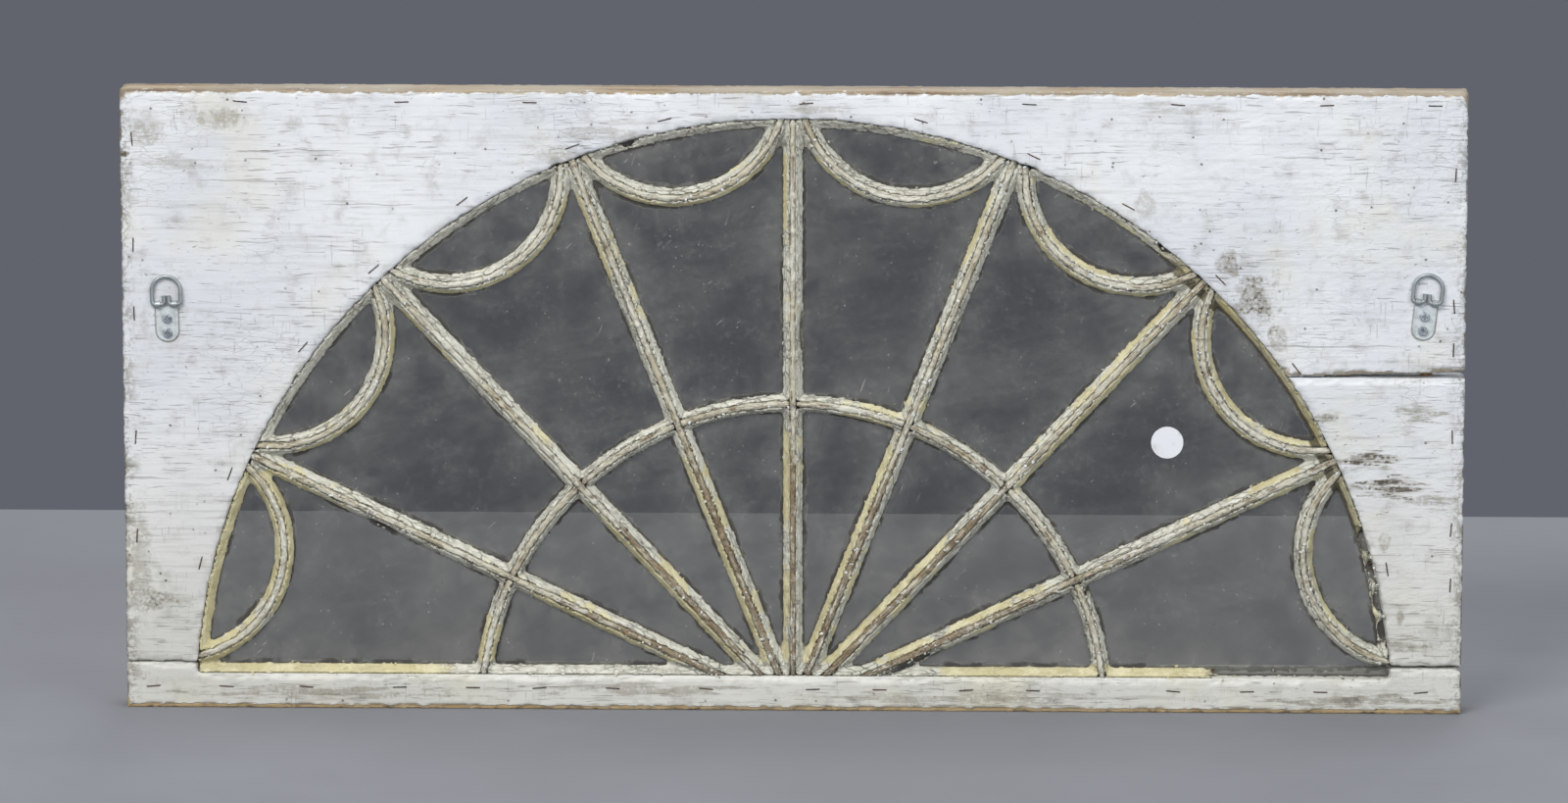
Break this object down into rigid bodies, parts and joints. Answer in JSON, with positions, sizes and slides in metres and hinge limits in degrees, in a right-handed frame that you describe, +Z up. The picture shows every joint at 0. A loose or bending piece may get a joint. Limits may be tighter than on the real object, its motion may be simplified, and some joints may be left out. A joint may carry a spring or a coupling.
{
  "type": "fanlight window sash",
  "caption": "Half-round fanlight sash in a boarded rectangular frame, with radial, half-round and scalloped bars, puttied glass and swinging D-ring hangers on the glazed face.",
  "frame": {"origin": "centre of the fan, which lies on the sash's underside at mid width and mid depth", "axes": "+X along the width, to the right as seen on the glazed face; +Y through the sash, from the glazed (putty) face to the moulded face; +Z up"},
  "size_m": [1.145, 0.0414, 0.537],
  "materials": {
    "frame_paint": "old cracked white paint over softwood",
    "bar_paint": "weathered grey and beige paint over softwood",
    "glass": "thin old window glass, dusty",
    "putty": "hardened pale yellow glazing putty",
    "dowel_wood": "bare wood",
    "iron": "dark oxidised steel wire",
    "paper": "blank matt paper",
    "zinc": "zinc-plated steel",
    "screw_steel": "plated steel, darker in the recess"
  },
  "bodies": {
    "sash": {"top_rail": "frame_paint", "left_upper_board": "frame_paint", "right_upper_board": "frame_paint", "left_lower_board": "frame_paint", "right_lower_board": "frame_paint", "bottom_rail": "frame_paint", "spoke_1": "bar_paint", "spoke_2": "bar_paint", "spoke_3": "bar_paint", "spoke_4": "bar_paint", "spoke_5": "bar_paint", "spoke_6": "bar_paint", "spoke_7": "bar_paint", "inner_bar_1": "bar_paint", "inner_bar_2": "bar_paint", "inner_bar_3": "bar_paint", "inner_bar_4": "bar_paint", "inner_bar_5": "bar_paint", "inner_bar_6": "bar_paint", "inner_bar_7": "bar_paint", "inner_bar_8": "bar_paint", "scallop_1": "bar_paint", "scallop_2": "bar_paint", "scallop_3": "bar_paint", "scallop_4": "bar_paint", "scallop_5": "bar_paint", "scallop_6": "bar_paint", "scallop_7": "bar_paint", "scallop_8": "bar_paint", "hub_pane_1": "glass", "hub_pane_2": "glass", "hub_pane_3": "glass", "hub_pane_4": "glass", "hub_pane_5": "glass", "hub_pane_6": "glass", "hub_pane_7": "glass", "hub_pane_8": "glass", "middle_pane_1": "glass", "middle_pane_2": "glass", "middle_pane_3": "glass", "middle_pane_4": "glass", "middle_pane_5": "glass", "middle_pane_6": "glass", "middle_pane_7": "glass", "middle_pane_8": "glass", "crescent_panes": "glass", "hub_putty": "putty", "middle_putty": "putty", "crescent_putty": "putty", "frame_dowels": "dowel_wood", "glazing_sprigs": "iron", "face_staples": "iron", "paper_tag": "paper", "left_hanger_plate": "zinc", "right_hanger_plate": "zinc", "hanger_screws": "screw_steel"},
    "left_ring": {"left_hanger_ring": "zinc"},
    "right_ring": {"right_hanger_ring": "zinc"}
  },
  "joints": [
    {"name": "left_ring_swing", "type": "hinge", "parent": "sash", "child": "left_ring", "pos_m": [-0.534, -0.02068, 0.352], "axis": [0.9997, 0, 0.0262], "range_deg": [0, 176]},
    {"name": "right_ring_swing", "type": "hinge", "parent": "sash", "child": "right_ring", "pos_m": [0.5385, -0.02068, 0.358], "axis": [0.9945, 0, -0.1045], "range_deg": [0, 176]}
  ]
}
